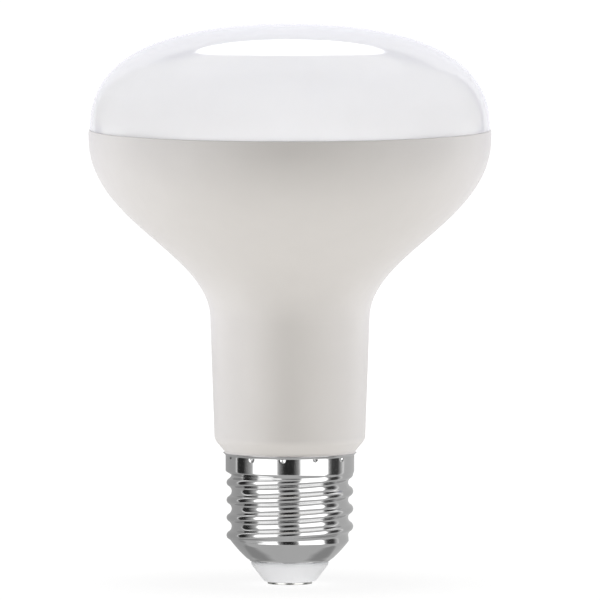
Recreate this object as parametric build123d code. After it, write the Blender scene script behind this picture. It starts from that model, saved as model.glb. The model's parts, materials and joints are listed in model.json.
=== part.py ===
from build123d import *
import os
from math import cos, radians, sin, tan

os.makedirs("parts", exist_ok=True)

# An LED reflector lamp. Millimetres, +Z from the end contact up through the dome.
# The origin is the centre of the contact's flat face.

# Clearances
fit_gap = 0.1            # between pieces pushed or screwed together
lead_gap = 0.1           # round a lead in its board hole
reach = 2.0              # how far a cutting solid runs past the face that it opens

# Screw cap
cap_wall = 0.3
thread_pitch = 3.629
thread_mean_radius = 12.525
thread_swing = 0.525     # crest and root stand this far either side of the mean
thread_start_angle = 139.0   # where the crest points at the thread's lower end
thread_length = 12.8
upper_runout = 1.0
lower_runout = 0.8
cone_height = 4.05
cone_top_radius = 12.1
mouth_radius = 8.3       # the shell's lower edge
mouth_hole_radius = 7.2
cone_bulge = 0.2
skirt_radius = 13.25
skirt_height = 3.1
rim_height = 0.6
rim_flare = 0.53
punch_count = 12
punch_first_angle = 23.4
punch_radius = 0.6
punch_depth = 0.35
punch_below_rim = 1.2

# Insulator and end contact
contact_thickness = 0.5
contact_radius = 4.6
contact_rounding = 0.2
stem_radius = 1.7
stem_bore_radius = 0.75
insulator_tip_radius = 5.25
insulator_base_radius = 7.95
insulator_collar = 0.75      # height of the straight band below the shell
insulator_height = 4.25
insulator_flange_height = 1.6
insulator_flange_slope = 0.5

# Housing
housing_wall = 1.6
seat_radius = 13.5
seat_lip = 0.3
chamfer_height = 2.4
foot_rounding = 2.2      # between the chamfer and the neck's wall
neck_foot_radius = 15.5
neck_length = 25.14
neck_radius = 16.39
bell_height = 36.93
bell_radius = 41.43
bell_upper_pull = 17.18  # handles of the bell's S-curve
bell_lower_pull = 13.42
neck_slope = 1.9
wall_lift = 0.45         # rise of a curve moved in by one, which keeps the wall even
rim_band = 1.73
nose_length = 15.1
nose_bore_radius = 10.3
neck_floor_thickness = 3.9
guide_height = 24.0
guide_thickness = 1.1
guide_depth = 2.6
wire_slot_width = 1.7
wire_slot_height = 5.5

# Diffuser dome
dome_wall = 1.5
dome_step = 0.3          # how far the dome stands in from the housing's rim
dome_radius = bell_radius - dome_step
dome_lip = 0.7
dome_rise = 20.95
dome_side_pull = 16.55   # handles of the dome's curve
dome_crown_pull = 21.4
dome_skirt_depth = 4.2
dome_skirt_wall = 1.4
bead_radius = 0.55
bead_stand = 0.35
bead_below_seam = 2.6

# Heat spreader and LED board
spreader_wall = 1.0
spreader_top_below_seam = 8.6
spreader_depth = 22.0
spreader_rounding = 0.7
burr_wall = 0.8
burr_length = 1.8
plug_opening_radius = 4.6
led_board_radius = 34.0
led_board_thickness = 1.6
chip_length = 3.5
chip_width = 2.8
chip_height = 0.7
chip_window = 2.2
chip_window_depth = 0.1
inner_ring_radius = 13.5
inner_ring_count = 6
outer_ring_radius = 25.0
outer_ring_count = 12
screw_count = 3
screw_ring_radius = 19.5
screw_radius = 1.25
screw_length = 5.0
screw_head_radius = 2.3
screw_head_height = 1.4
screw_slot_width = 0.5
screw_slot_depth = 0.7
screw_slot_length = 2.8

# Driver board
board_thickness = 1.2
board_width = 25.2
board_tail_width = 18.0
board_tail_length = 17.6
board_length = 48.0
board_corner = 1.0
lead_radius = 0.3

# Plug between the two boards
header_width = 6.4
header_depth = 2.5
header_height = 2.5
header_below_top = 3.0
header_stand = 0.1
plug_pitch = 2.54
plug_pin_radius = 0.32
plug_pin_overrun = 2.2
plug_bend_drop = 1.2     # the pins' bend below the header
socket_length = 7.0
socket_width = 5.0
socket_height = 3.0

# Driver components
input_can_radius = 5.0
input_can_length = 17.0
input_can_foot = 6.0     # its base above the board's shoulder
output_can_radius = 4.0
output_can_length = 11.0
output_can_above_core = 1.2
can_rounding = 0.6
can_groove_depth = 0.4
can_groove_width = 1.0
can_groove_from_base = 1.4
can_lead_pitch = 3.5
can_lead_drop = 1.9
core_width = 14.4
core_height = 11.6
core_depth = 6.0
core_leg = 2.6
core_centre_leg = 3.4
core_above_input_can = 0.9
core_from_board = 2.3
bobbin_wall = 0.7
bobbin_flange = 10.6
bobbin_pin_pitch = 7.0
inductor_radius = 3.4
inductor_height = 7.4
inductor_neck = 0.8
inductor_flange = 1.2
inductor_lead_pitch = 3.4
inductor_x = 2.2
inductor_z = 24.0
resistor_radius = 1.6
resistor_length = 6.4
resistor_rounding = 0.5
resistor_x = -5.4
resistor_z = 24.6
film_length = 9.0
film_width = 4.6
film_height = 8.4
film_rounding = 0.75
film_lead_pitch = 6.7
film_x = 1.5
film_z = 44.0
varistor_radius = 3.5
varistor_thickness = 3.2
varistor_stand = 0.9
varistor_rounding = 0.8
varistor_lead_pitch = 1.6
varistor_x = -2.8
varistor_z = 24.0
package_draft = 5.0
bridge_size = (4.7, 1.6, 3.9)
bridge_x = -6.0
bridge_z = 37.0
chip_driver_size = (4.9, 1.5, 3.9)
chip_driver_x = -6.6
chip_driver_z = 50.0
diode_size = (4.3, 2.1, 3.6)
diode_x = 6.6
diode_z = 70.0
smd_size = (2.0, 0.55, 1.25)
smd_count = 6
smd_pitch = 2.6
smd_x = 8.8
smd_z = 51.0

# Wires
wire_radius = 0.65
wire_top_z = 16.5        # both wires end here on the board's tail
live_wire_x = -2.4
live_wire_lead_in = 2.35     # straight run out of the contact's stem
live_wire_bends = (3.0, 5.0)
neutral_wire_x = 6.0
neutral_wire_drop = 0.6      # the turns' height below the nose
neutral_wire_dip = 2.0       # the lowest point's height below the nose
neutral_wire_bends = (2.1, 2.1, 2.1)

# Heights, from the contact's face up
mouth_z = contact_thickness + insulator_height
cone_top_z = mouth_z + cone_height
thread_bottom_z = cone_top_z + lower_runout
thread_top_z = thread_bottom_z + thread_length
skirt_bottom_z = thread_top_z + upper_runout
rim_bottom_z = skirt_bottom_z + skirt_height
seat_z = rim_bottom_z + rim_height
nose_bottom_z = seat_z - nose_length
neck_foot_z = seat_z + seat_lip + chamfer_height
neck_floor_z = seat_z + neck_floor_thickness
neck_top_z = neck_foot_z + neck_length
bell_top_z = neck_top_z + bell_height
seam_z = bell_top_z + rim_band
spreader_top_z = seam_z - spreader_top_below_seam
led_face_z = spreader_top_z + led_board_thickness
board_foot_z = neck_floor_z - board_tail_length
board_top_z = neck_floor_z + board_length
input_can_z = neck_floor_z + input_can_foot
core_z = input_can_z + input_can_length + core_above_input_can + core_height / 2
output_can_z = core_z + core_height / 2 + can_lead_drop + output_can_above_core

# Places across the lamp
board_face = board_thickness / 2
skirt_ring_radius = bell_radius - housing_wall - fit_gap   # outside of the dome's skirt
header_y = board_face + header_stand + header_depth / 2
core_y = -(board_face + core_from_board + core_depth / 2)


def turned(*outline):
    """Solid of revolution about the lamp's axis, from a closed outline in the XZ plane."""
    return revolve(make_face(list(outline)), Axis.Z)


def chain(*corners):
    """Straight edges through (radius, height) corners."""
    return Polyline(*[(radius, 0, height) for radius, height in corners])


def disc(radius, bottom, top):
    """Cylinder about the lamp's axis between two heights."""
    base = (Align.CENTER, Align.CENTER, Align.MIN)
    return Pos(0, 0, bottom) * Cylinder(radius, top - bottom, align=base)


def rod_along_y(x, z, radius, start, end):
    """Cylinder along Y between two values of y."""
    return Pos(x, (start + end) / 2, z) * Rot(90, 0, 0) * Cylinder(radius, abs(end - start))


def tube(points, radii, radius):
    """Round wire along straight runs joined by arcs."""
    route = FilletPolyline(*points, radius=radii)
    section = Plane(origin=route @ 0, z_dir=route % 0) * Circle(radius)
    return sweep(section, path=route)


def polar_places(count, ring_radius, first_angle=0.0):
    """Positions round the axis, each turned to face outwards."""
    return [
        Rot(0, 0, first_angle + 360 * i / count) * Pos(ring_radius, 0, 0) for i in range(count)
    ]


# Forms shared by the shell, its cavity and the housing's nose. Each is moved in by inset.
def crest_direction(height):
    """Angle in degrees at which the thread's crest points at a height."""
    return thread_start_angle + 360 * (height - thread_bottom_z) / thread_pitch


def thread_section(inset, height):
    """One level section of the thread, a circle in four arcs set off the axis to the crest."""
    angle = radians(crest_direction(height))
    centre = Pos(thread_swing * cos(angle), thread_swing * sin(angle), height)
    quarters = [CenterArc((0, 0), thread_mean_radius - inset, 90 * i, 90) for i in range(4)]
    return centre * make_face(quarters)


def thread_form(inset, bottom):
    """The off-axis circle carried up a slim helix without turning, which draws the thread."""
    helix = Helix(thread_pitch, thread_top_z - bottom, thread_swing)
    path = Pos(0, 0, bottom) * Rot(0, 0, crest_direction(bottom)) * helix
    return sweep(thread_section(inset, bottom), path=path, normal=(0, 0, 1))


def skirt_form(inset, top):
    """The plain skirt and the run-out that leads to it from the thread."""
    runout = loft([
        thread_section(inset, thread_top_z),
        Pos(0, 0, skirt_bottom_z) * Circle(skirt_radius - inset),
    ])
    return runout + disc(skirt_radius - inset, skirt_bottom_z, top)


def cone_form(inset):
    """The cone below the thread, with a slightly rounded flank."""
    low = (mouth_radius - inset * wall_lift, mouth_z + inset)
    high = (cone_top_radius - inset, cone_top_z)
    middle = ((low[0] + high[0] + cone_bulge) / 2, (low[1] + high[1] - cone_bulge) / 2)
    flank = ThreePointArc(*[(radius, 0, height) for radius, height in (low, middle, high)])
    return turned(flank, chain(high, (0, high[1]), (0, low[1]), low))


def cap_form(inset):
    """The whole shape of the cap below its flared rim."""
    lower_run = loft([
        Pos(0, 0, cone_top_z) * Circle(cone_top_radius - inset),
        thread_section(inset, thread_bottom_z),
    ])
    return (
        cone_form(inset)
        + lower_run
        + thread_form(inset, thread_bottom_z)
        + skirt_form(inset, rim_bottom_z)
    )


def rim_form(inset):
    """The flare that turns out towards the housing."""
    inner = skirt_radius - inset
    outer = inner + rim_flare
    return turned(chain(
        (0, rim_bottom_z), (inner, rim_bottom_z), (outer, seat_z), (0, seat_z), (0, rim_bottom_z),
    ))


def punches(growth):
    """Balls that press the punch marks through the skirt."""
    ring = skirt_radius + punch_radius - punch_depth
    ball = Sphere(punch_radius + growth)
    height = Pos(0, 0, seat_z - punch_below_rim)
    return [height * place * ball for place in polar_places(punch_count, ring, punch_first_angle)]


def screw_cap():
    outside = cap_form(0) + rim_form(0) - punches(0)
    inside = cap_form(cap_wall) + rim_form(cap_wall) - punches(cap_wall)
    mouth = disc(mouth_hole_radius, mouth_z - reach, mouth_z + reach)
    return outside - inside - mouth


def nose_form():
    """The threaded nose that the cap is screwed on, pocketed for the punch marks."""
    inset = cap_wall + fit_gap
    return (
        thread_form(inset, nose_bottom_z)
        + skirt_form(inset, seat_z)
        - punches(cap_wall + fit_gap)
    )


# Insulator and contact
def cap_insulator():
    tip_z = contact_thickness
    flange_z = mouth_z + cap_wall
    flange_foot = mouth_radius - fit_gap - cap_wall * wall_lift
    flange_top = flange_foot + insulator_flange_slope
    flange_top_z = flange_z + insulator_flange_height
    neck = mouth_hole_radius - fit_gap
    body = turned(chain(
        (insulator_tip_radius, tip_z),
        (insulator_base_radius, mouth_z - insulator_collar), (insulator_base_radius, mouth_z),
        (neck, mouth_z), (neck, flange_z), (flange_foot, flange_z),
        (flange_top, flange_top_z), (0, flange_top_z), (0, tip_z), (insulator_tip_radius, tip_z),
    ))
    return body - disc(stem_radius + fit_gap, tip_z - reach, flange_top_z + reach)


def centre_contact():
    stem_top = mouth_z + cap_wall + insulator_flange_height
    body = disc(contact_radius, 0, contact_thickness)
    body = fillet(body.edges().filter_by(GeomType.CIRCLE).sort_by(Axis.Z)[0], contact_rounding)
    body += disc(stem_radius, 0, stem_top)
    return body - disc(stem_bore_radius, contact_thickness, stem_top + reach)


# Housing and dome
def bell_form(inset, bottom, top):
    """The housing's shape between two heights, moved in by inset."""
    lift = inset * wall_lift
    foot = (neck_foot_radius - inset, neck_foot_z)
    throat = (neck_radius - inset, neck_top_z + lift)
    brow = (bell_radius - inset, bell_top_z + lift)
    lean = bell_lower_pull * tan(radians(neck_slope))
    curve = Bezier(
        (throat[0], 0, throat[1]),
        (throat[0] + lean, 0, throat[1] + bell_lower_pull),
        (brow[0], 0, brow[1] - bell_upper_pull),
        (brow[0], 0, brow[1]),
    )
    high = seam_z + reach
    form = turned(curve, chain(brow, (brow[0], high), (0, high), (0, foot[1]), foot, throat))
    return form & disc(bell_radius + reach, bottom, top)


def housing():
    outside = bell_form(0, neck_foot_z, seam_z) + turned(chain(
        (0, seat_z), (seat_radius, seat_z), (seat_radius, seat_z + seat_lip),
        (neck_foot_radius, neck_foot_z), (0, neck_foot_z), (0, seat_z),
    ))
    circles = outside.edges().filter_by(GeomType.CIRCLE).sort_by(Axis.Z)
    outside = fillet(circles.filter_by_position(Axis.Z, neck_foot_z, neck_foot_z), foot_rounding)
    rim = outside.edges().filter_by(GeomType.CIRCLE).sort_by(Axis.Z)[-1]
    outside = fillet(rim, dome_step)
    cavity = bell_form(housing_wall, neck_floor_z, seam_z + reach)
    skirt_seat = disc(
        skirt_ring_radius + fit_gap, seam_z - dome_skirt_depth - fit_gap, seam_z + reach
    )
    shell = outside - cavity - skirt_seat - bead_ring(fit_gap)
    shell = shell + nose_form() + board_guides(cavity)
    bore = disc(nose_bore_radius, nose_bottom_z - reach, neck_floor_z + reach)
    slot_x = nose_bore_radius + housing_wall
    slot = Pos(slot_x, 0, nose_bottom_z) * Box(
        2 * housing_wall + reach, wire_slot_width, 2 * wire_slot_height
    )
    return shell - bore - slot


def board_guides(cavity):
    """Two pairs of ribs on the neck's wall that hold the driver board's edges."""
    slot = board_thickness / 2 + fit_gap
    rib_y = slot + guide_thickness / 2
    inner_x = board_width / 2 - guide_depth / 2
    outer_x = neck_radius
    rib = Box(outer_x - inner_x, guide_thickness, guide_height)
    middle_x = (outer_x + inner_x) / 2
    middle_z = neck_floor_z + guide_height / 2
    ribs = [
        Pos(side * middle_x, face * rib_y, middle_z) * rib for side in (-1, 1) for face in (-1, 1)
    ]
    return [rib & cavity for rib in ribs]


def bead_ring(growth):
    """The snap bead round the dome's skirt, or its groove when grown."""
    centre = skirt_ring_radius + bead_stand - bead_radius
    return Pos(0, 0, seam_z - bead_below_seam) * Torus(centre, bead_radius + growth)


def dome_form(inset, bottom):
    """The dome's outer or inner shape, down to a level below it."""
    side = dome_radius - inset
    rise = dome_rise - inset
    start_z = seam_z + dome_lip
    top_z = start_z + rise
    curve = Bezier(
        (side, 0, start_z),
        (side, 0, start_z + dome_side_pull * rise / dome_rise),
        (dome_crown_pull * side / dome_radius, 0, top_z),
        (0, 0, top_z),
    )
    return turned(curve, chain((0, top_z), (0, bottom), (side, bottom), (side, start_z)))


def diffuser_dome():
    skirt_bottom = seam_z - dome_skirt_depth
    bore_radius = skirt_ring_radius - dome_skirt_wall
    shell = dome_form(0, seam_z) - dome_form(dome_wall, seam_z + dome_wall)
    skirt = disc(skirt_ring_radius, skirt_bottom, seam_z) + bead_ring(0)
    bore = disc(bore_radius, skirt_bottom - reach, seam_z + dome_wall)
    return shell + skirt - bore


# Light engine
def heat_spreader():
    bottom = spreader_top_z - spreader_depth
    inset = housing_wall + fit_gap
    cup = bell_form(inset, bottom, spreader_top_z)
    rim = cup.edges().sort_by(Axis.Z)[-1]
    cup = fillet(rim, spreader_rounding)
    hollow = bell_form(inset + spreader_wall, bottom - reach, spreader_top_z - spreader_wall)
    places = polar_places(screw_count, screw_ring_radius)
    hole = screw_radius + fit_gap
    burr_z = spreader_top_z - spreader_wall - burr_length
    burr = disc(hole + burr_wall, burr_z, spreader_top_z - spreader_wall / 2)
    drill = disc(hole, burr_z - reach, spreader_top_z + reach)
    cup = cup - hollow + [place * burr for place in places]
    plug_opening = Pos(0, header_y, 0) * disc(
        plug_opening_radius, spreader_top_z - reach, spreader_top_z + reach
    )
    return cup - [place * drill for place in places] - plug_opening


def plug_pin_places():
    return [Pos(side * plug_pitch / 2, header_y, 0) for side in (-1, 1)]


def led_board():
    board = disc(led_board_radius, spreader_top_z, led_face_z)
    hole = disc(screw_radius + fit_gap, spreader_top_z - reach, led_face_z + reach)
    pin_hole = disc(plug_pin_radius + fit_gap, spreader_top_z - reach, led_face_z + reach)
    screw_holes = [place * hole for place in polar_places(screw_count, screw_ring_radius)]
    return board - screw_holes - [place * pin_hole for place in plug_pin_places()]


def led_chip():
    """One light source, its window a shallow well in the top of the case."""
    case = Pos(0, 0, led_face_z + chip_height / 2) * Box(chip_width, chip_length, chip_height)
    window = Pos(0, 0, led_face_z + chip_height) * Box(
        chip_window, chip_window * chip_length / chip_width, 2 * chip_window_depth
    )
    return case - window


def led_chips():
    turn = 180 / inner_ring_count
    places = polar_places(inner_ring_count, inner_ring_radius, turn)
    places += polar_places(outer_ring_count, outer_ring_radius, turn / 2)
    chip = led_chip()
    return {f"led_chip_{i + 1:02d}": place * chip for i, place in enumerate(places)}


def board_screws():
    """Pan-head screws with a cross slot, one at each place on the screw ring."""
    head = disc(screw_head_radius, led_face_z, led_face_z + screw_head_height)
    top_edge = head.edges().filter_by(GeomType.CIRCLE).sort_by(Axis.Z)[-1]
    head = fillet(top_edge, screw_head_height / 2)
    shank = disc(screw_radius, led_face_z - screw_length, led_face_z)
    slot_z = led_face_z + screw_head_height
    bar = Pos(0, 0, slot_z) * Box(screw_slot_length, screw_slot_width, 2 * screw_slot_depth)
    screw = head + shank - bar - Rot(0, 0, 90) * bar
    return Compound([place * screw for place in polar_places(screw_count, screw_ring_radius)])


def led_socket():
    middle = Pos(0, header_y, led_face_z + socket_height / 2)
    body = middle * Box(socket_length, socket_width, socket_height)
    body = chamfer(body.edges().filter_by(Axis.Z), board_corner / 2)
    hole = disc(plug_pin_radius + fit_gap, led_face_z - reach, led_face_z + socket_height + reach)
    return body - [place * hole for place in plug_pin_places()]


# Driver board and what stands on it
header_z = board_top_z - header_below_top
pin_bend_z = header_z - header_height - plug_bend_drop


def can_lead_sites(x, base_z):
    """Where a lying capacitor's two leads pass through the board."""
    return [(x + side * can_lead_pitch / 2, base_z - can_lead_drop) for side in (-1, 1)]


def straight_lead_sites(x, z, pitch):
    return [(x + side * pitch / 2, z) for side in (-1, 1)]


def bobbin_pin_sites():
    top = core_height / 2 - core_leg - bobbin_wall / 2
    return [
        (side * bobbin_pin_pitch / 2, core_z + level * top)
        for side in (-1, 1) for level in (-1, 1)
    ]


def resistor_lead_sites():
    drop = resistor_length / 2 + can_lead_drop
    return [(resistor_x, resistor_z + level * drop) for level in (-1, 1)]


def board_hole_sites():
    return (
        can_lead_sites(0, input_can_z)
        + can_lead_sites(0, output_can_z)
        + straight_lead_sites(inductor_x, inductor_z, inductor_lead_pitch)
        + straight_lead_sites(film_x, film_z, film_lead_pitch)
        + straight_lead_sites(varistor_x, varistor_z, varistor_lead_pitch)
        + bobbin_pin_sites()
        + resistor_lead_sites()
    )


def plug_pin_sites():
    return straight_lead_sites(0, pin_bend_z, plug_pitch)


def driver_board():
    """The board with its narrow tail in the nose and a hole for every lead."""
    tail = Pos(0, 0, (board_foot_z + neck_floor_z) / 2) * Box(
        board_tail_width, board_thickness, board_tail_length
    )
    field = Pos(0, 0, (board_top_z + neck_floor_z) / 2) * Box(
        board_width, board_thickness, board_length
    )
    board = tail + field
    corners = board.edges().filter_by(Axis.Y).sort_by(Axis.Z)
    board = chamfer(corners[:2] + corners[-2:], board_corner)
    holes = [
        rod_along_y(x, z, lead_radius + lead_gap, -board_thickness, board_thickness)
        for x, z in board_hole_sites()
    ]
    pin_holes = [
        rod_along_y(x, z, plug_pin_radius + lead_gap, -board_thickness, board_thickness)
        for x, z in plug_pin_sites()
    ]
    return board - holes - pin_holes


def bent_lead(x, y, start_z, end_z):
    """A lead that leaves a body along Z and turns through the board along Y."""
    far = board_face + lead_gap if y < 0 else -(board_face + lead_gap)
    return tube([(x, y, start_z), (x, y, end_z), (x, far, end_z)], can_lead_drop / 3, lead_radius)


def lying_can(x, base_z, radius, length):
    """An electrolytic capacitor that lies along the board, crimped near its base."""
    y = -(board_face + fit_gap + radius)
    groove_low = can_groove_from_base
    groove_high = groove_low + can_groove_width
    waist = radius - can_groove_depth
    can = revolve(make_face([Polyline(
        (0, 0, 0), (radius, 0, 0), (radius, 0, groove_low),
        (waist, 0, (groove_low + groove_high) / 2), (radius, 0, groove_high),
        (radius, 0, length), (0, 0, length), (0, 0, 0),
    )]), Axis.Z)
    ends = can.edges().filter_by(GeomType.CIRCLE).sort_by(Axis.Z)
    can = fillet([ends[0], ends[-1]], can_rounding)
    body = Pos(x, y, base_z) * can
    leads = [
        bent_lead(lead_x, y, base_z + can_rounding, lead_z)
        for lead_x, lead_z in can_lead_sites(x, base_z)
    ]
    return body + leads


def transformer_core(level):
    """One half of the ferrite core, an E with its legs towards the other half."""
    half = core_height / 2
    depth = core_depth
    yoke = Pos(0, 0, half - core_leg / 2) * Box(core_width, depth, core_leg)
    leg_x = (core_width - core_leg) / 2
    leg = Pos(0, 0, half / 2) * Box(core_leg, depth, half)
    centre = disc(core_centre_leg / 2, 0, half)
    half_core = yoke + Pos(-leg_x, 0, 0) * leg + Pos(leg_x, 0, 0) * leg + centre
    flip = Rot(0, 0, 0) if level > 0 else Rot(180, 0, 0)
    return Pos(0, core_y, core_z) * flip * half_core


def bobbin_window():
    """Height of the space between the core's yokes."""
    return core_height - 2 * core_leg - 2 * fit_gap


def transformer_bobbin():
    window = bobbin_window()
    bore = core_centre_leg / 2 + fit_gap
    barrel = disc(bore + bobbin_wall, -window / 2, window / 2)
    flange_x = core_width - 2 * core_leg - 2 * fit_gap
    flange_z = window / 2 - bobbin_wall / 2
    flange = Box(flange_x, bobbin_flange, bobbin_wall)
    body = barrel + Pos(0, 0, flange_z) * flange + Pos(0, 0, -flange_z) * flange
    body = body - disc(bore, -window, window)
    body = Pos(0, core_y, core_z) * body
    flange_back = core_y + bobbin_flange / 2
    pins = [
        rod_along_y(x, z, lead_radius, flange_back - bobbin_wall, board_face + lead_gap)
        for x, z in bobbin_pin_sites()
    ]
    return body + pins


def transformer_winding():
    room = bobbin_window() - 2 * bobbin_wall - 2 * fit_gap
    inner = core_centre_leg / 2 + 2 * fit_gap + bobbin_wall
    outer = core_width / 2 - core_leg - 2 * fit_gap
    ring = disc(outer, -room / 2, room / 2) - disc(inner, -room, room)
    return Pos(0, core_y, core_z) * ring


def filter_inductor():
    """A drum core with its winding between two flanges, on two straight leads."""
    flange = inductor_flange
    drum = revolve(make_face([Polyline(
        (0, 0, 0), (inductor_radius, 0, 0), (inductor_radius, 0, flange),
        (inductor_radius - inductor_neck, 0, flange + inductor_neck / 2),
        (inductor_radius - inductor_neck, 0, inductor_height - flange - inductor_neck / 2),
        (inductor_radius, 0, inductor_height - flange), (inductor_radius, 0, inductor_height),
        (0, 0, inductor_height), (0, 0, 0),
    )]), Axis.Z)
    face = -(board_face + fit_gap)
    body = Pos(inductor_x, face, inductor_z) * Rot(90, 0, 0) * drum
    leads = [
        rod_along_y(x, z, lead_radius, face - flange, board_face + lead_gap)
        for x, z in straight_lead_sites(inductor_x, inductor_z, inductor_lead_pitch)
    ]
    return body + leads


def fusible_resistor():
    """A round resistor lying along the board, with rounded end caps."""
    y = -(board_face + fit_gap + resistor_radius)
    body = Pos(resistor_x, y, resistor_z) * Cylinder(resistor_radius, resistor_length)
    body = fillet(body.edges().filter_by(GeomType.CIRCLE), resistor_rounding)
    half = resistor_length / 2 - resistor_rounding
    leads = [
        bent_lead(x, y, resistor_z + (half if z > resistor_z else -half), z)
        for x, z in resistor_lead_sites()
    ]
    return body + leads


def film_capacitor():
    face = board_face + fit_gap
    body = Pos(film_x, face + film_height / 2, film_z) * Box(film_length, film_height, film_width)
    body = fillet(body.edges(), film_rounding)
    leads = [
        rod_along_y(x, z, lead_radius, -(board_face + lead_gap), face + film_height / 4)
        for x, z in straight_lead_sites(film_x, film_z, film_lead_pitch)
    ]
    return body + leads


def varistor():
    """A disc that stands on edge, off the board by its own leads."""
    centre_y = board_face + varistor_stand + varistor_radius
    body = Rot(0, 90, 0) * Cylinder(varistor_radius, varistor_thickness)
    body = fillet(body.edges().filter_by(GeomType.CIRCLE), varistor_rounding)
    body = Pos(varistor_x, centre_y, varistor_z) * body
    leads = [
        rod_along_y(x, z, lead_radius, -(board_face + lead_gap), centre_y)
        for x, z in straight_lead_sites(varistor_x, varistor_z, varistor_lead_pitch)
    ]
    return body + leads


def flat_package(size, x, z):
    """A surface-mounted case on the board's rear face, with a drafted top and side tabs."""
    length, height, width = size
    tab = height / 8
    base = Plane(origin=(x, board_face + tab, z), x_dir=(1, 0, 0), z_dir=(0, 1, 0))
    case = extrude(base * Rectangle(length, width), height - tab, taper=package_draft)
    foot = Pos(x, board_face + tab / 2, z) * Box(length + height, tab, width * 2 / 3)
    return case + foot


def chip_resistors():
    """A row of small resistors, one group."""
    return Compound([
        Pos(smd_x, board_face + smd_size[1] / 2, smd_z + smd_pitch * (i - (smd_count - 1) / 2))
        * Box(*smd_size)
        for i in range(smd_count)
    ])


def pin_header():
    body = Pos(0, header_y, header_z - header_height / 2) * Box(
        header_width, header_depth, header_height
    )
    body = chamfer(body.edges().filter_by(Axis.Z), board_corner / 4)
    hole = disc(plug_pin_radius + fit_gap, header_z - 2 * header_height, header_z + reach)
    return body - [place * hole for place in plug_pin_places()]


def header_pins():
    """Two pins bent into the driver board, with their tips in the LED board's socket."""
    tip_z = led_face_z + plug_pin_overrun
    front_y = -(board_face + lead_gap)
    routes = [
        [(x, front_y, z), (x, header_y, z), (x, header_y, tip_z)] for x, z in plug_pin_sites()
    ]
    return Compound([tube(route, 2 * plug_pin_radius, plug_pin_radius) for route in routes])


def live_wire():
    """From the contact's stem to the front of the board's tail."""
    y = -(board_face + wire_radius)
    stem_top = mouth_z + cap_wall + insulator_flange_height
    points = [
        (0, 0, stem_top), (0, 0, stem_top + live_wire_lead_in),
        (live_wire_x, y, board_foot_z - 2 * wire_radius), (live_wire_x, y, wire_top_z),
    ]
    return tube(points, live_wire_bends, wire_radius)


def neutral_wire():
    """From the board's tail round the nose's lower edge into its slot beside the shell."""
    y = -(board_face + wire_radius)
    slot_x = thread_mean_radius - thread_swing - cap_wall - 2 * fit_gap - wire_radius
    turn_z = nose_bottom_z - neutral_wire_drop
    points = [
        (neutral_wire_x, y, wire_top_z),
        (neutral_wire_x, y, turn_z),
        ((neutral_wire_x + slot_x) / 2, y / 2, nose_bottom_z - neutral_wire_dip),
        (slot_x, 0, turn_z),
        (slot_x, 0, nose_bottom_z + wire_slot_height - wire_radius),
    ]
    return tube(points, neutral_wire_bends, wire_radius)


parts = {
    "diffuser_dome": diffuser_dome(),
    "housing": housing(),
    "screw_cap": screw_cap(),
    "cap_insulator": cap_insulator(),
    "centre_contact": centre_contact(),
    "heat_spreader": heat_spreader(),
    "led_board": led_board(),
    "board_screws": board_screws(),
    "led_socket": led_socket(),
    "driver_board": driver_board(),
    "input_capacitor": lying_can(0, input_can_z, input_can_radius, input_can_length),
    "output_capacitor": lying_can(0, output_can_z, output_can_radius, output_can_length),
    "transformer_core_upper": transformer_core(1),
    "transformer_core_lower": transformer_core(-1),
    "transformer_bobbin": transformer_bobbin(),
    "transformer_winding": transformer_winding(),
    "filter_inductor": filter_inductor(),
    "fusible_resistor": fusible_resistor(),
    "film_capacitor": film_capacitor(),
    "varistor": varistor(),
    "bridge_rectifier": flat_package(bridge_size, bridge_x, bridge_z),
    "driver_ic": flat_package(chip_driver_size, chip_driver_x, chip_driver_z),
    "output_diode": flat_package(diode_size, diode_x, diode_z),
    "chip_resistors": chip_resistors(),
    "pin_header": pin_header(),
    "header_pins": header_pins(),
    "live_wire": live_wire(),
    "neutral_wire": neutral_wire(),
    **led_chips(),
}

for name, shape in parts.items():
    export_step(shape, f"parts/{name}.step")
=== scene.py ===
import json
from math import cos, radians, sin, tau

import bmesh
import bpy
import numpy as np
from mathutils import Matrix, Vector

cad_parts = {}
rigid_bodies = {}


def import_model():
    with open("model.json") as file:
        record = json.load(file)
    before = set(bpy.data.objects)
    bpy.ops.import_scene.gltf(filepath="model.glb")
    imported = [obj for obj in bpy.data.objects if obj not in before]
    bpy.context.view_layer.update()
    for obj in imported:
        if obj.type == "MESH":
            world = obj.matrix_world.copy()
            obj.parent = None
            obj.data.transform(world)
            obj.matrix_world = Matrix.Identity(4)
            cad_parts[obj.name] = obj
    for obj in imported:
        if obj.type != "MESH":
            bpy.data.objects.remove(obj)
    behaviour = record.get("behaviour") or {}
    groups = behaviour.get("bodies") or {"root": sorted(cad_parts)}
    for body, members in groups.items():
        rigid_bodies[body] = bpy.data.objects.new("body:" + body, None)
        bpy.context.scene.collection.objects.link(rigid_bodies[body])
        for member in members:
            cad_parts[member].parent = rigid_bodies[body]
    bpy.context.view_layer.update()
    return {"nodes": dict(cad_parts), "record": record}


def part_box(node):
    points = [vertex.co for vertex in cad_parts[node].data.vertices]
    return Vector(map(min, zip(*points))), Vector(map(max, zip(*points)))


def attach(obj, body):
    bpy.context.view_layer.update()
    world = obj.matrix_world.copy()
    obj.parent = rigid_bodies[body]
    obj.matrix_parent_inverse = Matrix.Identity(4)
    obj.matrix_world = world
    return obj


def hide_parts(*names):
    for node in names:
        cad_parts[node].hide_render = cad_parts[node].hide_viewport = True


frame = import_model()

# An LED reflector lamp. Lengths here are in millimetres and become metres where a mesh is made.
MM = 0.001
weld_distance = 0.0005

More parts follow.
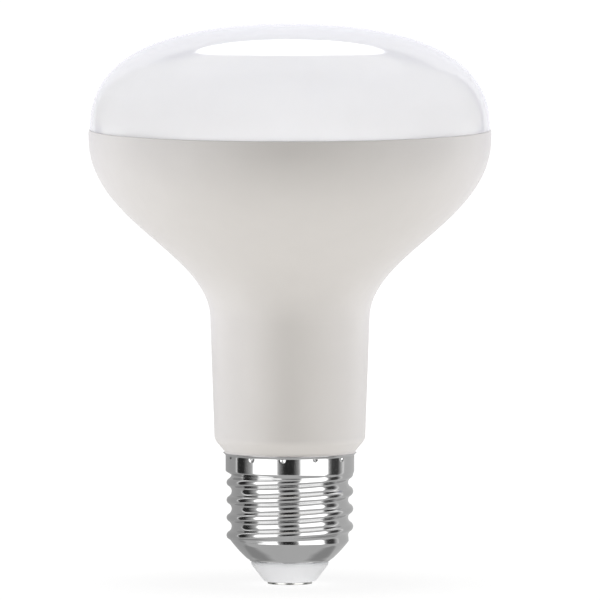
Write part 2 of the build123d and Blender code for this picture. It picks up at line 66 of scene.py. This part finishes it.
# Sizes read from the frame
cap_low, cap_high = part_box("screw_cap")
mouth_z = cap_low.z / MM
seat_z = cap_high.z / MM
rim_outer = cap_high.x / MM
dome_low, dome_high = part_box("diffuser_dome")
dome_top_z = dome_high.z / MM
dome_foot_z = dome_low.z / MM
dome_radius = dome_high.x / MM
seam_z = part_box("housing")[1].z / MM

# Screw cap
cap_wall = 0.3
thread_pitch = 3.629
thread_mean_radius = 12.525
thread_swing = 0.525
outer_crest_share = 0.42     # of the thread's two arcs, how much is crest
inner_crest_share = 0.5
thread_start_angle = 139.0
thread_length = 12.8
upper_runout = 1.0
lower_runout = 0.8
cone_height = 4.05
cone_top_radius = 12.1
cone_bulge = 0.2
mouth_radius = 8.3
mouth_hole_radius = 7.2
skirt_radius = 13.25
rim_height = 0.6
punch_count = 12
punch_first_angle = 23.4
punch_radius = 0.6
punch_depth = 0.35
punch_below_rim = 0.8
punch_falloff = 1.3          # how sharply a dent closes in on its middle
rim_flare = 1.5              # how late the rim turns outwards
edge_round = 0.12
round_steps = 4              # points of a rounded corner

cone_top_z = mouth_z + cone_height
thread_bottom_z = cone_top_z + lower_runout
thread_top_z = thread_bottom_z + thread_length
skirt_bottom_z = thread_top_z + upper_runout
rim_bottom_z = seat_z - rim_height

# Dome
dome_wall = 1.5
dome_lip = 0.7
dome_rise = 20.95
dome_side_pull = 16.55
dome_crown_pull = 21.4
lip_round = 0.08
skirt_ring_radius = 39.73
skirt_ring_wall = 1.4
bead_radius = 0.55
bead_stand = 0.35
bead_below_seam = 2.6

# Insulator and end contact
insulator_tip_radius = 5.25
insulator_radius = 7.95
insulator_collar = 0.75
insulator_gap = 0.1
insulator_edge = 0.3
flange_slope = 0.5
stem_radius = 1.7
stem_bore = 0.75
contact_thickness = 0.5
contact_edge = 0.15

# How finely the pieces are drawn: points round the axis, and rows of points along an outline
cap_around = 480
rim_rows = 6
skirt_rows = 30
thread_rows = 98
flank_rows = 7
inner_flank_rows = 5
inner_rows = 42
dome_around = 256
dome_rows = 64
dome_inner_rows = 40
lip_rows = 6
bead_rows = 9
insulator_around = 160
contact_around = 128

# Camera, at the photograph's viewing angle
view_elevation = 3.8
view_distance = 5000.0
view_end = 100000.0
view_width = 123.46          # millimetres across the picture at the lamp
sensor_width = 36.0
aim = Vector((2.08, 0, 58.5))


# Mesh making
def mesh_object(name, points, faces):
    """A smooth mesh whose coinciding points, such as those on the axis, are made one."""
    mesh = bpy.data.meshes.new(name)
    mesh.from_pydata((np.asarray(points) * MM).tolist(), [], faces)
    work = bmesh.new()
    work.from_mesh(mesh)
    bmesh.ops.remove_doubles(work, verts=work.verts, dist=weld_distance * MM)
    bmesh.ops.recalc_face_normals(work, faces=work.faces)
    work.to_mesh(mesh)
    work.free()
    mesh.shade_smooth()
    piece = bpy.data.objects.new(name, mesh)
    bpy.context.scene.collection.objects.link(piece)
    return piece


def ring_faces(rows, around, closed):
    """Quads of a grid that closes round the axis, and from its last row to its first if closed."""
    faces = []
    for i in range(rows if closed else rows - 1):
        low, high = i * around, (i + 1) % rows * around
        for j in range(around):
            k = (j + 1) % around
            faces.append((low + j, low + k, high + k, high + j))
    return faces


def revolved(name, outline, around, closed):
    """A (radius, height) outline turned about the lamp's axis, which it meets if not closed."""
    angles = np.linspace(0, tau, around, endpoint=False)
    points = [(r * cos(a), r * sin(a), z) for r, z in outline for a in angles]
    return mesh_object(name, points, ring_faces(len(outline), around, closed))


def bezier(start, pull_start, pull_end, end, count):
    """Points of a curve from start to end that leaves and arrives along its two pulls."""
    t = np.linspace(0, 1, count)[:, None]
    corners = [np.array(p, float) for p in (start, pull_start, pull_end, end)]
    weights = ((1 - t) ** 3, 3 * t * (1 - t) ** 2, 3 * t ** 2 * (1 - t), t ** 3)
    return sum(w * c for w, c in zip(weights, corners))


def arc(centre, radius, start, end, count):
    """Points of an arc in the (radius, height) plane, between two angles in degrees."""
    angles = np.radians(np.linspace(start, end, count))
    across, up = centre
    return np.column_stack([across + radius * np.cos(angles), up + radius * np.sin(angles)])


def rounded(corners, size):
    """An outline with each corner eased over a short length of both its sides."""
    corners = [np.array(c, float) for c in corners]
    outline = []
    for i, corner in enumerate(corners):
        before, after = corners[i - 1], corners[(i + 1) % len(corners)]
        reach = min(size, np.linalg.norm(before - corner) / 2, np.linalg.norm(after - corner) / 2)
        start = corner + (before - corner) / np.linalg.norm(before - corner) * reach
        end = corner + (after - corner) / np.linalg.norm(after - corner) * reach
        for t in np.linspace(0, 1, round_steps):
            outline.append((1 - t) ** 2 * start + 2 * t * (1 - t) * corner + t ** 2 * end)
    return outline


# Screw cap, a thin rolled shell
cap_angles = np.linspace(0, 360, cap_around, endpoint=False)


def thread_radius(height, crest_share):
    """Radius of the rolled thread at every angle, its crest and root two arcs that touch."""
    half = thread_pitch / 2
    both_radii = (thread_swing ** 2 + half ** 2 / 4) / thread_swing
    crest_radius = both_radii * crest_share
    root_radius = both_radii - crest_radius
    turns = (cap_angles - thread_start_angle) / 360 - (height - thread_bottom_z) / thread_pitch
    off_crest = np.abs((turns + 0.5) % 1 - 0.5) * thread_pitch
    on_crest = off_crest < half * crest_share
    crest = np.sqrt(crest_radius ** 2 - np.where(on_crest, off_crest, 0) ** 2)
    root = np.sqrt(root_radius ** 2 - np.where(on_crest, 0, half - off_crest) ** 2)
    swing = np.where(
        on_crest, thread_swing - crest_radius + crest, root_radius - thread_swing - root
    )
    return thread_mean_radius + swing


def punch_dent(height):
    """How far the punch marks press the skirt in at every angle."""
    spacing = 360 / punch_count
    off = np.abs((cap_angles - punch_first_angle + spacing / 2) % spacing - spacing / 2)
    across = np.radians(off) * skirt_radius
    away = np.hypot(across, height - (seat_z - punch_below_rim))
    return punch_depth * np.clip(1 - away / punch_radius, 0, 1) ** punch_falloff


def eased(t):
    """A share from 0 to 1 that starts and stops gently."""
    return t * t * (3 - 2 * t)


def cap_wall_radius(height, crest_share):
    """The outside of the shell at every angle, from the cone's top to the rim."""
    if height > rim_bottom_z:
        rise = (height - rim_bottom_z) / rim_height
        return np.full(cap_around, skirt_radius + (rim_outer - skirt_radius) * rise ** rim_flare)
    if height > skirt_bottom_z:
        return skirt_radius - punch_dent(height)
    if height > thread_top_z:
        share = eased((height - thread_top_z) / upper_runout)
        top = thread_radius(thread_top_z, crest_share)
        return (1 - share) * top + share * skirt_radius
    if height > thread_bottom_z:
        return thread_radius(height, crest_share)
    share = eased((height - cone_top_z) / lower_runout)
    bottom = thread_radius(thread_bottom_z, crest_share)
    return (1 - share) * cone_top_radius + share * bottom


def cone_rows(inset, count):
    """The cone's flank from its top down, slightly bowed outwards."""
    low = np.array((mouth_radius - inset / 2, mouth_z + inset))
    high = np.array((cone_top_radius - inset, cone_top_z))
    rows = []
    for t in np.linspace(0, 1, count):
        radius, height = high + (low - high) * t + 2 * cone_bulge * t * (1 - t) * np.array((1, -1))
        rows.append((np.full(cap_around, radius), height))
    return rows


def make_screw_cap():
    """Rows of points down the outside, round the mouth and up the inside to the rim."""
    edge_radius, edge_z = rim_outer - edge_round / 3, seat_z - edge_round / 3
    outer_levels = np.concatenate([
        np.linspace(seat_z - edge_round, rim_bottom_z, rim_rows, endpoint=False),
        np.linspace(rim_bottom_z, skirt_bottom_z, skirt_rows, endpoint=False),
        np.linspace(skirt_bottom_z, cone_top_z, thread_rows, endpoint=False),
    ])
    inner_levels = np.linspace(cone_top_z, seat_z, inner_rows)[1:]
    mouth = rounded([
        (mouth_radius, mouth_z), (mouth_hole_radius, mouth_z),
        (mouth_hole_radius, mouth_z + cap_wall), (mouth_radius - cap_wall / 2, mouth_z + cap_wall),
    ], edge_round)
    rows = [(np.full(cap_around, edge_radius), edge_z)]
    rows += [(cap_wall_radius(z, outer_crest_share), z) for z in outer_levels]
    rows += cone_rows(0, flank_rows)[:-1]
    rows += [(np.full(cap_around, r), z) for r, z in mouth[:-1]]
    rows += cone_rows(cap_wall, inner_flank_rows)[::-1][1:]
    rows += [(cap_wall_radius(z, inner_crest_share) - cap_wall, z) for z in inner_levels]
    rows.append((np.full(cap_around, rim_outer - edge_round), seat_z))
    turn = np.radians(cap_angles)
    points = np.vstack([
        np.column_stack([r * np.cos(turn), r * np.sin(turn), np.full(cap_around, z)])
        for r, z in rows
    ])
    return mesh_object("screw_cap_shell", points, ring_faces(len(rows), cap_around, True))


# Dome, insulator and contact
def make_dome():
    start_z = seam_z + dome_lip
    inner_z = seam_z + dome_wall
    outer = bezier(
        (0, dome_top_z), (dome_crown_pull, dome_top_z),
        (dome_radius, start_z + dome_side_pull), (dome_radius, start_z), dome_rows,
    )
    scale = (dome_radius - dome_wall) / dome_radius
    inner = bezier(
        (dome_radius - dome_wall, inner_z),
        (dome_radius - dome_wall, start_z + dome_side_pull * (1 - dome_wall / dome_rise)),
        (dome_crown_pull * scale, dome_top_z - dome_wall), (0, dome_top_z - dome_wall),
        dome_inner_rows,
    )
    lip = arc((dome_radius - lip_round, seam_z + lip_round), lip_round, 0, -90, lip_rows)
    bead_z = seam_z - bead_below_seam
    bead_middle = skirt_ring_radius + bead_stand - bead_radius
    swell = np.degrees(np.arccos((bead_radius - bead_stand) / bead_radius))
    bead = arc((bead_middle, bead_z), bead_radius, swell, -swell, bead_rows)
    bore = skirt_ring_radius - skirt_ring_wall
    skirt = [(skirt_ring_radius, seam_z), *bead, (skirt_ring_radius, dome_foot_z)]
    inside = [(bore, dome_foot_z), (bore, inner_z)]
    outline = [*outer, *lip, *skirt, *inside, *inner]
    return revolved("dome_shell", outline, dome_around, False)


def make_insulator():
    low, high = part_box("cap_insulator")
    foot_z, flange_top_z, flange_top = low.z / MM, high.z / MM, high.x / MM
    neck = mouth_hole_radius - insulator_gap
    flange_z = mouth_z + cap_wall
    return revolved("insulator_disc", rounded([
        (stem_radius + insulator_gap, foot_z), (insulator_tip_radius, foot_z),
        (insulator_radius, mouth_z - insulator_collar), (insulator_radius, mouth_z),
        (neck, mouth_z), (neck, flange_z), (flange_top - flange_slope, flange_z),
        (flange_top, flange_top_z), (stem_radius + insulator_gap, flange_top_z),
    ], insulator_edge), insulator_around, True)


def make_contact():
    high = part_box("centre_contact")[1]
    stem_top_z, radius = high.z / MM, high.x / MM
    outline = rounded([
        (0, 0), (radius, 0), (radius, contact_thickness), (stem_radius, contact_thickness),
        (stem_radius, stem_top_z), (stem_bore, stem_top_z), (stem_bore, contact_thickness),
        (0, contact_thickness),
    ], contact_edge)
    on_axis = [(0, 0), *outline[round_steps:-round_steps], (0, contact_thickness)]
    return revolved("contact_disc", on_axis, contact_around, False)


# Materials
noise_detail = 3.0
noise_middle = (0.3, 0.7)    # where most of the noise's values lie
gloss_drift = 0.1            # how far the roughness strays, of its value
gloss_patch = 1 / 3          # width of the gloss's patches, of the colour's


def node_material(name):
    """A new material with its nodes, its links, its shader and object coordinates."""
    material = bpy.data.materials.new(name)
    material.use_nodes = True
    nodes, links = material.node_tree.nodes, material.node_tree.links
    place = nodes.new("ShaderNodeTexCoord").outputs["Object"]
    return material, nodes, links, nodes["Principled BSDF"], place


def noise(nodes, links, place, grain):
    """Noise whose features are about as wide as grain, in millimetres."""
    texture = nodes.new("ShaderNodeTexNoise")
    texture.inputs["Scale"].default_value = 1 / (grain * MM)
    texture.inputs["Detail"].default_value = noise_detail
    links.new(place, texture.inputs["Vector"])
    return texture.outputs["Fac"]


def spread(nodes, links, value, low, high):
    """The noise's middle range taken to low and high."""
    ranged = nodes.new("ShaderNodeMapRange")
    ranged.inputs["From Min"].default_value = noise_middle[0]
    ranged.inputs["From Max"].default_value = noise_middle[1]
    ranged.inputs["To Min"].default_value = low
    ranged.inputs["To Max"].default_value = high
    links.new(value, ranged.inputs["Value"])
    return ranged.outputs["Result"]


def finish(name, colour, roughness, mottle=0.02, patch=6.0, grain=0.5, depth=0.004, **sockets):
    """A moulded, painted or metal surface: colour that drifts, uneven gloss and a fine grain."""
    material, nodes, links, shader, place = node_material(name)
    mix = nodes.new("ShaderNodeMix")
    mix.data_type = "RGBA"
    mix.inputs["A"].default_value = (*[c * (1 - mottle) for c in colour], 1)
    mix.inputs["B"].default_value = (*[min(c * (1 + mottle), 1) for c in colour], 1)
    drift = spread(nodes, links, noise(nodes, links, place, patch), 0, 1)
    links.new(drift, mix.inputs["Factor"])
    links.new(mix.outputs["Result"], shader.inputs["Base Color"])
    gloss = spread(
        nodes, links, noise(nodes, links, place, patch * gloss_patch),
        roughness * (1 - gloss_drift), roughness * (1 + gloss_drift),
    )
    links.new(gloss, shader.inputs["Roughness"])
    bump = nodes.new("ShaderNodeBump")
    bump.inputs["Distance"].default_value = depth * MM
    links.new(noise(nodes, links, place, grain), bump.inputs["Height"])
    links.new(bump.outputs["Normal"], shader.inputs["Normal"])
    for socket, value in sockets.items():
        shader.inputs[socket.replace("_", " ")].default_value = value
    return material


finishes = {
    "opal_diffuser": finish(
        "opal_plastic", (0.925, 0.922, 0.965), 0.05, mottle=0.006, depth=0.0002, IOR=1.33,
        Subsurface_Weight=0.4, Subsurface_Radius=(1, 0.97, 0.94), Subsurface_Scale=3 * MM,
    ),
    "white_housing": finish("satin_housing", (0.62, 0.6, 0.585), 0.45, mottle=0.008),
    "nickel_shell": finish(
        "nickel_plate", (0.64, 0.64, 0.64), 0.11, grain=1.6, depth=0.0025, Metallic=1.0
    ),
    "white_insulator": finish("insulator_white", (0.85, 0.863, 0.9), 0.4, mottle=0.01),
    "contact_metal": finish("contact_metal", (0.6, 0.6, 0.58), 0.25, Metallic=1.0),
    "raw_aluminium": finish("drawn_aluminium", (0.72, 0.73, 0.74), 0.38, Metallic=1.0),
    "white_board": finish("white_solder_mask", (0.82, 0.83, 0.82), 0.35),
    "light_source": finish("phosphor", (0.86, 0.68, 0.16), 0.3, mottle=0.05, patch=0.8),
    "screw_steel": finish("zinc_steel", (0.6, 0.61, 0.63), 0.28, Metallic=1.0),
    "socket_plastic": finish("socket_nylon", (0.8, 0.78, 0.72), 0.45),
    "circuit_board": finish("fibreglass_board", (0.055, 0.2, 0.085), 0.4, mottle=0.12, grain=0.3),
    "capacitor_sleeve": finish("capacitor_sleeve", (0.03, 0.035, 0.05), 0.3),
    "ferrite": finish("ferrite", (0.06, 0.06, 0.065), 0.6, mottle=0.1, grain=0.2),
    "bobbin_plastic": finish("phenolic", (0.03, 0.028, 0.026), 0.45),
    "winding": finish("tape_over_wire", (0.78, 0.6, 0.1), 0.3, mottle=0.04),
    "resistor_coat": finish("resistor_coat", (0.12, 0.3, 0.22), 0.5, mottle=0.06),
    "film_case": finish("film_case", (0.55, 0.1, 0.045), 0.35, mottle=0.05),
    "varistor_coat": finish("varistor_coat", (0.08, 0.16, 0.45), 0.45, mottle=0.06),
    "black_package": finish("moulded_black", (0.035, 0.035, 0.037), 0.5, mottle=0.1, grain=0.15),
    "header_plastic": finish("header_nylon", (0.04, 0.04, 0.04), 0.45),
    "pin_metal": finish("tinned_pin", (0.7, 0.69, 0.66), 0.25, Metallic=1.0),
    "red_insulation": finish("red_silicone", (0.5, 0.03, 0.025), 0.4, mottle=0.04),
    "blue_insulation": finish("blue_silicone", (0.035, 0.09, 0.4), 0.4, mottle=0.04),
}

for part in frame["record"]["subparts"]:
    node = frame["nodes"][part["node"]]
    node.data.materials.clear()
    node.data.materials.append(finishes[part["material_slot"]])

for piece, node, slot in (
    (make_dome(), "diffuser_dome", "opal_diffuser"),
    (make_screw_cap(), "screw_cap", "nickel_shell"),
    (make_insulator(), "cap_insulator", "white_insulator"),
    (make_contact(), "centre_contact", "contact_metal"),
):
    piece.data.materials.append(finishes[slot])
    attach(piece, "root")
    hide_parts(node)


# Stage. Azimuth is counted from the camera's side towards the picture's right.
# Cards stand at these distances from a point on the axis. A nearer one hides a farther one.
card_grid = 41               # points along each side of a card
ceiling_distance = 1600.0
card_distance = 1500.0
flag_distance = 1450.0
wall_distance = 1400.0
disc_distance = 1300.0
near_distance = 62.0
cap_middle = (mouth_z + seat_z) / 2
surround_drop = 10.0

lamp_distance = 1500.0
lamp_size = 900.0
dome_lamps = 3
side_colour = (0.97, 0.99, 1.05)
spot_direction = (5, 2)
spot_aim = Vector((0, 0, 38))
spot_power = 50
spot_colour = (1, 0.98, 0.94)
spot_angle = 3.0
spot_softness = 50.0

world_light = 0.22
world_mirrored = 0.56        # what gloss and glass show of it
world_seen = 1.0

floor_half = 8000.0
floor_grey = 0.8
floor_glow = 0.6
floor_glow_colour = (1, 0.98, 0.93)
floor_painted_shade_reach = (100.0, 500.0)  # distances from the lamp over which the floor's painted shade round the lamp fades to white
# Painted shade: the glow the camera sees on the floor, weaker near the lamp and white further off
floor_painted_shade_glow = (0.88, 1.0)
floor_shaded = 0.22          # the part of the seen floor that takes the shadow


def direction(azimuth, elevation):
    """Where an azimuth and an elevation in degrees point."""
    a, e = radians(azimuth), radians(elevation)
    return Vector((sin(a) * cos(e), -cos(a) * cos(e), sin(e)))


def glow(nodes, colour, strength):
    """A shader that is plain light of a colour."""
    light = nodes.new("ShaderNodeEmission")
    light.inputs["Color"].default_value = (*colour, 1)
    light.inputs["Strength"].default_value = strength
    return light


def card(name, height, azimuths, elevations, strength, colour=(1, 1, 1),
         distance=card_distance, fades=(4, 4), disc=False):
    """Part of a sphere round a point on the axis, only for reflections.

    Its borders fade over the given degrees at the sides and at the ends. A disc is round.
    """
    across = np.linspace(*azimuths, card_grid)
    up = np.linspace(*elevations, card_grid)
    centre = Vector((0, 0, height))
    points = [centre + direction(a, e) * distance for e in up for a in across]
    faces = [
        (i, i + 1, i + card_grid + 1, i + card_grid)
        for i in range(card_grid * (card_grid - 1)) if (i + 1) % card_grid
    ]
    panel = mesh_object(name, points, faces)
    offset = np.linspace(-1, 1, card_grid)
    if disc:
        inside = (1 - np.hypot.outer(offset, offset)) * np.ptp(up) / 2 / fades[1]
    else:
        to_side = (1 - np.abs(offset)) * np.ptp(across) / 2 / fades[0]
        to_end = (1 - np.abs(offset)) * np.ptp(up) / 2 / fades[1]
        inside = np.minimum.outer(to_end, to_side)
    shares = panel.data.attributes.new("fade", "FLOAT", "POINT")
    shares.data.foreach_set("value", np.clip(inside, 0, 1).ravel())
    material = bpy.data.materials.new(name)
    material.use_nodes = True
    material.cycles.emission_sampling = "NONE"   # or it would light the dome as a lamp does
    nodes, links = material.node_tree.nodes, material.node_tree.links
    light = glow(nodes, colour, strength)
    fade = nodes.new("ShaderNodeAttribute")
    fade.attribute_name = "fade"
    soft = nodes.new("ShaderNodeMixShader")
    links.new(fade.outputs["Fac"], soft.inputs["Fac"])
    links.new(nodes.new("ShaderNodeBsdfTransparent").outputs["BSDF"], soft.inputs[1])
    links.new(light.outputs["Emission"], soft.inputs[2])
    links.new(soft.outputs["Shader"], nodes["Material Output"].inputs["Surface"])
    panel.data.materials.append(material)
    panel.visible_camera = False
    panel.visible_diffuse = False
    panel.visible_shadow = False


# The stripes on the screw cap
card("left_softbox", cap_middle, (-71, -21), (-34, 34), 2.1, fades=(3, 4))
card("right_softbox", cap_middle, (17, 74), (-34, 34), 2.1, fades=(3, 4))
card("dark_front", cap_middle, (-25, 21), (-25, 25), 0.03, distance=flag_distance, fades=(14, 4))
card("left_flag", cap_middle, (-128, -71), (-32, 32), 0.03, distance=flag_distance, fades=(20, 4))
card("right_flag", cap_middle, (72, 106), (-25, 25), 0.06, distance=flag_distance, fades=(9, 4))
card("left_shade", cap_middle, (-158, -115), (-68, -28), 0.32, fades=(10, 10))
card("right_shade", cap_middle, (115, 158), (-68, -28), 0.32, fades=(10, 10))

# The highlight on the dome, and the room behind it
card("rear_top_softbox", dome_top_z, (163.5, 196.5), (28.5, 53.5), 7,
     distance=disc_distance, fades=(1, 1), disc=True)
card("backdrop", dome_top_z, (148, 212), (-26, 33), 1.08, (0.93, 0.93, 1), wall_distance)
card("left_wall", dome_top_z, (221, 252), (-26, 44), 1.35, distance=wall_distance)
card("right_wall", dome_top_z, (108, 139), (-26, 44), 1.35, distance=wall_distance)
card("lilac_wall", dome_top_z, (130, 230), (-26, 44), 0.42, (0.68, 0.68, 1))
card("ceiling", dome_top_z, (108, 252), (38, 80), 1.3, distance=ceiling_distance)

# Close surrounds, which keep the far cards off the dome's front and the cap's edges
card("dome_surround", dome_top_z - surround_drop, (-118, 110), (-12, 45), 0.7,
     distance=near_distance, fades=(6, 4))
card("near_table_left", 0, (180, 260), (-30, 52), 0.43, distance=near_distance)
card("near_table_right", 0, (100, 180), (-30, 52), 0.57, distance=near_distance)


def lamp(name, azimuth, elevation, power, lit, colour=(1, 1, 1)):
    """A soft area light aimed at the lamp, left out of reflections, for one group of objects."""
    data = bpy.data.lights.new(name, "AREA")
    data.color = colour
    data.shape = "DISK"
    data.size = lamp_size * MM
    data.energy = power
    holder = bpy.data.objects.new(name, data)
    holder.location = (aim + direction(azimuth, elevation) * lamp_distance) * MM
    holder.rotation_euler = (-direction(azimuth, elevation)).to_track_quat("-Z", "Y").to_euler()
    holder.visible_camera = False
    holder.visible_glossy = False
    holder.light_linking.receiver_collection = lit
    bpy.context.scene.collection.objects.link(holder)


# The dome glows evenly all round, so it has three even lights in place of the two side ones,
# which leave out the insulator too
dome_group = bpy.data.collections.new("dome_group")
dome_group.objects.link(bpy.data.objects["dome_shell"])
body_group = bpy.data.collections.new("body_group")
for thing in bpy.context.scene.objects:
    if thing.type == "MESH" and thing.name not in ("dome_shell", "insulator_disc"):
        body_group.objects.link(thing)
lamp("left_light", -100, 8, 17.5, body_group, side_colour)
lamp("right_light", 110, 8, 17, body_group, side_colour)
for number in range(dome_lamps):
    lamp(f"dome_light_{number + 1}", 360 / dome_lamps * number, 10, 6.6, dome_group)
lamp("top_light", 0, 90, 12.5, None)

# A narrow soft spot from the front for the neck, which the bell shades from above
spot_data = bpy.data.lights.new("neck_spot", "SPOT")
spot_data.energy = spot_power
spot_data.color = spot_colour
spot_data.spot_size = radians(spot_angle)
spot_data.spot_blend = 1.0
spot_data.shadow_soft_size = spot_softness * MM
spot = bpy.data.objects.new("neck_spot", spot_data)
spot.location = (spot_aim + direction(*spot_direction) * lamp_distance) * MM
spot.rotation_euler = (-direction(*spot_direction)).to_track_quat("-Z", "Y").to_euler()
spot.visible_camera = False
spot.visible_glossy = False
bpy.context.scene.collection.objects.link(spot)

# The world, with a strength of its own for each kind of ray
world = bpy.data.worlds.new("studio")
bpy.context.scene.world = world
world.use_nodes = True
nodes, links = world.node_tree.nodes, world.node_tree.links
background = nodes["Background"]
background.inputs["Color"].default_value = (1, 1, 1, 1)
path = nodes.new("ShaderNodeLightPath")
strength = None
for rays, value in (
    ("Is Glossy Ray", world_mirrored), ("Is Transmission Ray", world_mirrored),
    ("Is Camera Ray", world_seen),
):
    step = nodes.new("ShaderNodeMix")
    if strength:
        links.new(strength, step.inputs["A"])
    else:
        step.inputs["A"].default_value = world_light
    step.inputs["B"].default_value = value
    links.new(path.outputs[rays], step.inputs["Factor"])
    strength = step.outputs["Result"]
links.new(strength, background.inputs["Strength"])


def make_floor():
    """A pale floor that looks white, keeps a faint shadow, partly real and partly painted shade
    from a glow that is dimmer near the lamp, and can't be seen from below.
    """
    ends = (-floor_half, floor_half)
    floor = mesh_object("floor", [(x, y, 0) for y in ends for x in ends], [(0, 1, 3, 2)])
    material, nodes, links, shader, place = node_material("pale_floor")
    shader.inputs["Base Color"].default_value = (*[floor_grey] * 3, 1)
    shader.inputs["Roughness"].default_value = 1.0
    shader.inputs["Emission Color"].default_value = (*floor_glow_colour, 1)
    shader.inputs["Emission Strength"].default_value = floor_glow
    light = glow(nodes, (1, 1, 1), 1)
    away = nodes.new("ShaderNodeVectorMath")
    away.operation = "LENGTH"
    links.new(place, away.inputs[0])
    # Painted shade: the camera's glow is dimmer near the lamp, so the floor round its foot is
    # painted darker
    painted_shade_ramp = nodes.new("ShaderNodeMapRange")
    painted_shade_ramp.inputs["From Min"].default_value = floor_painted_shade_reach[0] * MM
    painted_shade_ramp.inputs["From Max"].default_value = floor_painted_shade_reach[1] * MM
    painted_shade_ramp.inputs["To Min"].default_value = floor_painted_shade_glow[0]
    painted_shade_ramp.inputs["To Max"].default_value = floor_painted_shade_glow[1]
    links.new(away.outputs["Value"], painted_shade_ramp.inputs["Value"])
    links.new(painted_shade_ramp.outputs["Result"], light.inputs["Strength"])
    seen = nodes.new("ShaderNodeBsdfDiffuse")
    seen.inputs["Color"].default_value = (*[floor_shaded] * 3, 1)
    both = nodes.new("ShaderNodeAddShader")
    links.new(light.outputs["Emission"], both.inputs[0])
    links.new(seen.outputs["BSDF"], both.inputs[1])
    path = nodes.new("ShaderNodeLightPath")
    choose = nodes.new("ShaderNodeMixShader")
    links.new(path.outputs["Is Camera Ray"], choose.inputs["Fac"])
    links.new(shader.outputs["BSDF"], choose.inputs[1])
    links.new(both.outputs["Shader"], choose.inputs[2])
    side = nodes.new("ShaderNodeNewGeometry")
    clear = nodes.new("ShaderNodeBsdfTransparent")
    one_sided = nodes.new("ShaderNodeMixShader")
    links.new(side.outputs["Backfacing"], one_sided.inputs["Fac"])
    links.new(choose.outputs["Shader"], one_sided.inputs[1])
    links.new(clear.outputs["BSDF"], one_sided.inputs[2])
    links.new(one_sided.outputs["Shader"], nodes["Material Output"].inputs["Surface"])
    floor.data.materials.append(material)
    floor.visible_glossy = False


make_floor()

# Camera
camera_data = bpy.data.cameras.new("camera")
camera_data.sensor_width = sensor_width
camera_data.lens = sensor_width * view_distance / view_width
camera_data.clip_end = view_end * MM
camera = bpy.data.objects.new("camera", camera_data)
camera.location = (aim + direction(0, view_elevation) * view_distance) * MM
camera.rotation_euler = (-direction(0, view_elevation)).to_track_quat("-Z", "Y").to_euler()
bpy.context.scene.collection.objects.link(camera)
bpy.context.scene.camera = camera
bpy.context.scene.view_settings.view_transform = "Standard"
